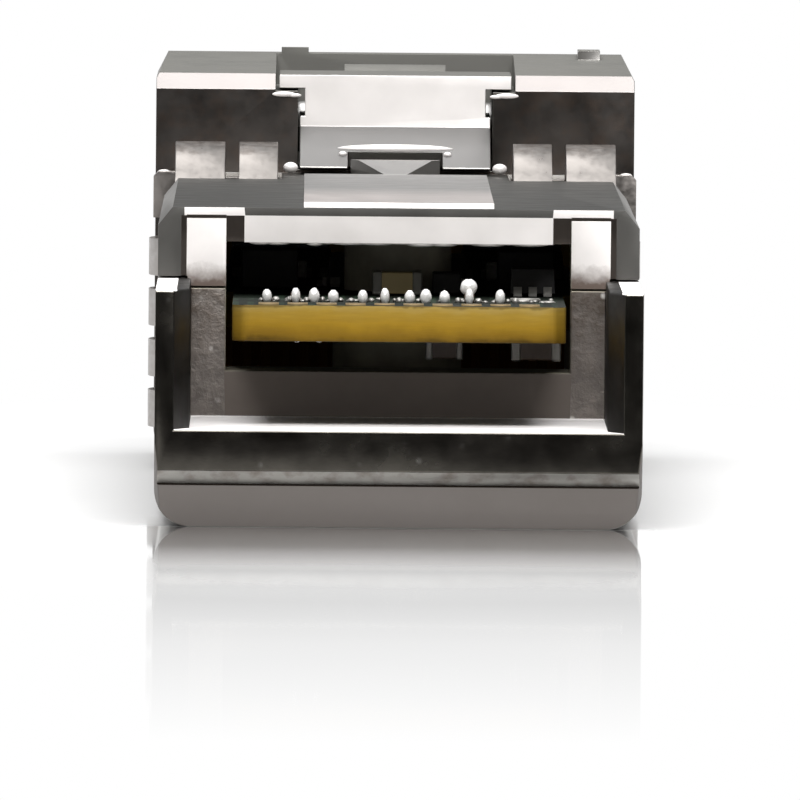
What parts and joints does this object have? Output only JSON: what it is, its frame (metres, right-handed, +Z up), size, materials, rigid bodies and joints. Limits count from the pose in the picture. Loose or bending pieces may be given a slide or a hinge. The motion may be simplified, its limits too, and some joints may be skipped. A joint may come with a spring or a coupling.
{
  "type": "optical transceiver module",
  "caption": "Pluggable fibre-optic transceiver: die-cast latch and label side shells, edge connector board, duplex optical ports and a bail that slides a latch release.",
  "frame": {"origin": "middle of the module's box, on the label-side face that it lies on", "axes": "+X across the width, +Y from the host (edge connector) end to the optical end, +Z up towards the latch side"},
  "size_m": [0.0142, 0.0564, 0.012],
  "materials": {
    "nickel_cast": "nickel plated die casting, polished",
    "nickel_cast_dark": "nickel plated die casting, mirror-like faces and rough cast pockets",
    "spring_steel": "nickel plated spring sheet",
    "steel": "bright machined steel",
    "gold_plate": "gold plated header and cap",
    "black_plastic": "moulded, fine grain",
    "amber_plastic": "clear amber moulding",
    "ceramic": "ground zirconia",
    "flex_film": "polyimide film",
    "board_laminate": "glass-epoxy laminate, bare amber edges",
    "chip_black": "moulded chip package",
    "capacitor_body": "fired ceramic with tinned ends",
    "ferrite": "sintered ferrite",
    "heat_pad": "soft gap filler",
    "label_paper": "blank printed film"
  },
  "bodies": {
    "module": {"latch_side_shell": "nickel_cast", "label_side_shell": "nickel_cast_dark", "spring_collar": "spring_steel", "return_spring": "steel", "optics_clamp": "steel", "transmitter_barrel": "steel", "crystal": "steel", "cover_screw_rear": "steel", "cover_screw_front": "steel", "transmitter_can": "gold_plate", "receiver_can": "gold_plate", "optical_receptacle": "black_plastic", "receiver_barrel": "amber_plastic", "transmitter_split_sleeve": "ceramic", "transmitter_fibre_stub": "ceramic", "receiver_split_sleeve": "ceramic", "transmitter_flex": "flex_film", "receiver_flex": "flex_film", "circuit_board": "board_laminate", "voltage_supervisor_ic": "chip_black", "microcontroller_ic": "chip_black", "laser_driver_ic": "chip_black", "limiting_amplifier_ic": "chip_black", "memory_ic": "chip_black", "supply_regulator_ic": "chip_black", "tantalum_capacitor": "capacitor_body", "coupling_capacitor_a": "capacitor_body", "coupling_capacitor_b": "capacitor_body", "coupling_capacitor_c": "capacitor_body", "coupling_capacitor_d": "capacitor_body", "input_filter_capacitor": "capacitor_body", "output_filter_capacitor": "capacitor_body", "ferrite_bead": "ferrite", "transmit_inductor": "ferrite", "receive_inductor": "ferrite", "microwave_absorber": "ferrite", "laser_driver_heat_pad": "heat_pad", "amplifier_heat_pad": "heat_pad", "blank_label": "label_paper"},
    "actuator": {"actuator_slider": "nickel_cast"},
    "bail": {"bail_frame": "steel", "bail_grip": "black_plastic", "bail_shaft": "steel"}
  },
  "joints": [
    {"name": "bail_hinge", "type": "hinge", "parent": "module", "child": "bail", "pos_m": [0, 0.02595, 0.0097], "axis": [1, 0, 0], "range_deg": [0, 90]},
    {"name": "actuator_slide", "type": "slide", "parent": "module", "child": "actuator", "axis": [0, -1, 0], "range_m": [0, 0.0011], "deforming": ["return_spring"]}
  ],
  "couplings": [
    {"joint": "bail_hinge", "follows": "actuator_slide", "rad_per_m": 1427}
  ]
}
